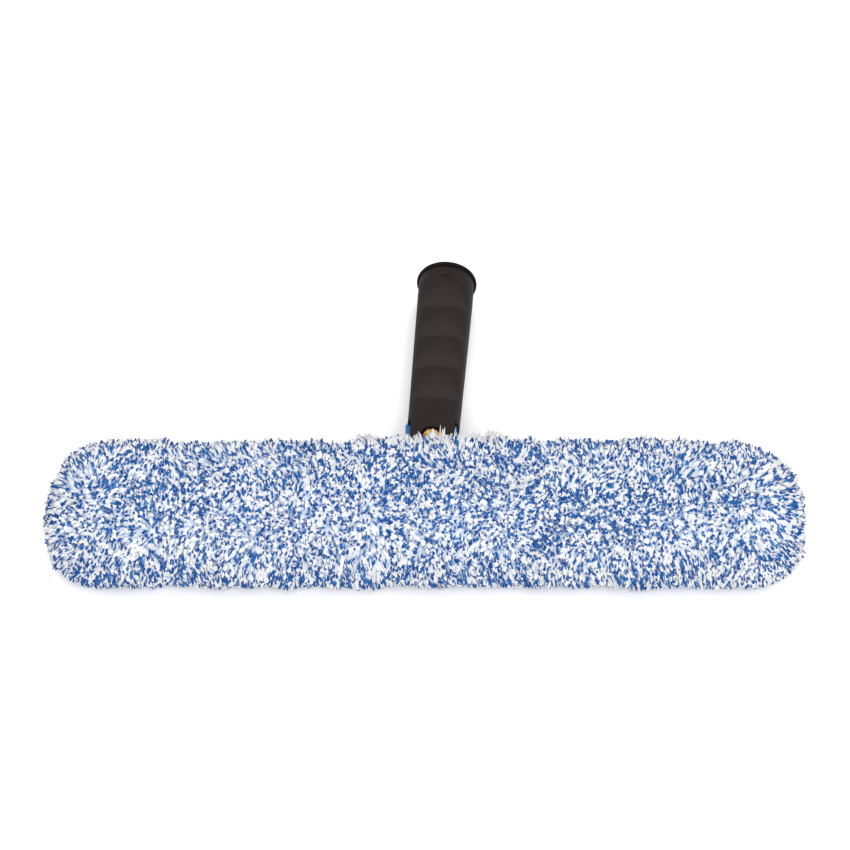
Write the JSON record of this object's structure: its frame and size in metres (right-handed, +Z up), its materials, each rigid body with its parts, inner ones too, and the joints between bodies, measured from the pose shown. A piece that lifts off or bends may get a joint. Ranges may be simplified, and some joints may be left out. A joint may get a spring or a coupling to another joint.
{
  "type": "window scrubber",
  "caption": "Strip washer for windows: a fluffy blue and white microfibre sleeve on a moulded bar, with a black grip handle that swivels on a brass pivot and takes a pole.",
  "frame": {"origin": "on the table, under the middle of the sleeve", "axes": "+X along the sleeve, +Y the way the handle points, +Z up"},
  "size_m": [0.356, 0.1883, 0.0505],
  "materials": {
    "blue_plastic": "moulded",
    "black_plastic": "moulded",
    "black_grip": "fine matt grain",
    "white_plastic": "moulded",
    "brass": "turned",
    "steel": "plated",
    "hook_tape": "hook tape",
    "loop_tape": "loop tape",
    "backing_cloth": "woven",
    "binding_tape": "woven tape",
    "microfibre_pile": "long pile, white flecked with blue"
  },
  "bodies": {
    "head": {"bar_lower_shell": "blue_plastic", "bar_upper_shell": "blue_plastic", "swivel_hub": "blue_plastic", "bar_screws": "steel", "hub_screws": "steel", "end_cap_left": "blue_plastic", "end_cap_right": "blue_plastic", "hook_pad_left": "hook_tape", "hook_pad_right": "hook_tape", "loop_pad_left": "loop_tape", "loop_pad_right": "loop_tape", "end_panel_left": "backing_cloth", "end_panel_right": "backing_cloth", "sleeve_backing": "backing_cloth", "neck_binding": "binding_tape", "sleeve_pile": "microfibre_pile"},
    "handle": {"handle_core": "black_plastic", "grip": "black_grip", "end_collar": "black_plastic", "pivot_barrel": "brass", "pivot_screw": "brass", "spring_washer": "steel", "thrust_washer_front": "white_plastic", "thrust_washer_rear": "white_plastic"}
  },
  "joints": [
    {"name": "swivel", "type": "hinge", "parent": "head", "child": "handle", "pos_m": [0.0031, 0.03843, 0.02174], "axis": [0, 0.0586, 0.9983], "range_deg": [-56, 64]}
  ]
}
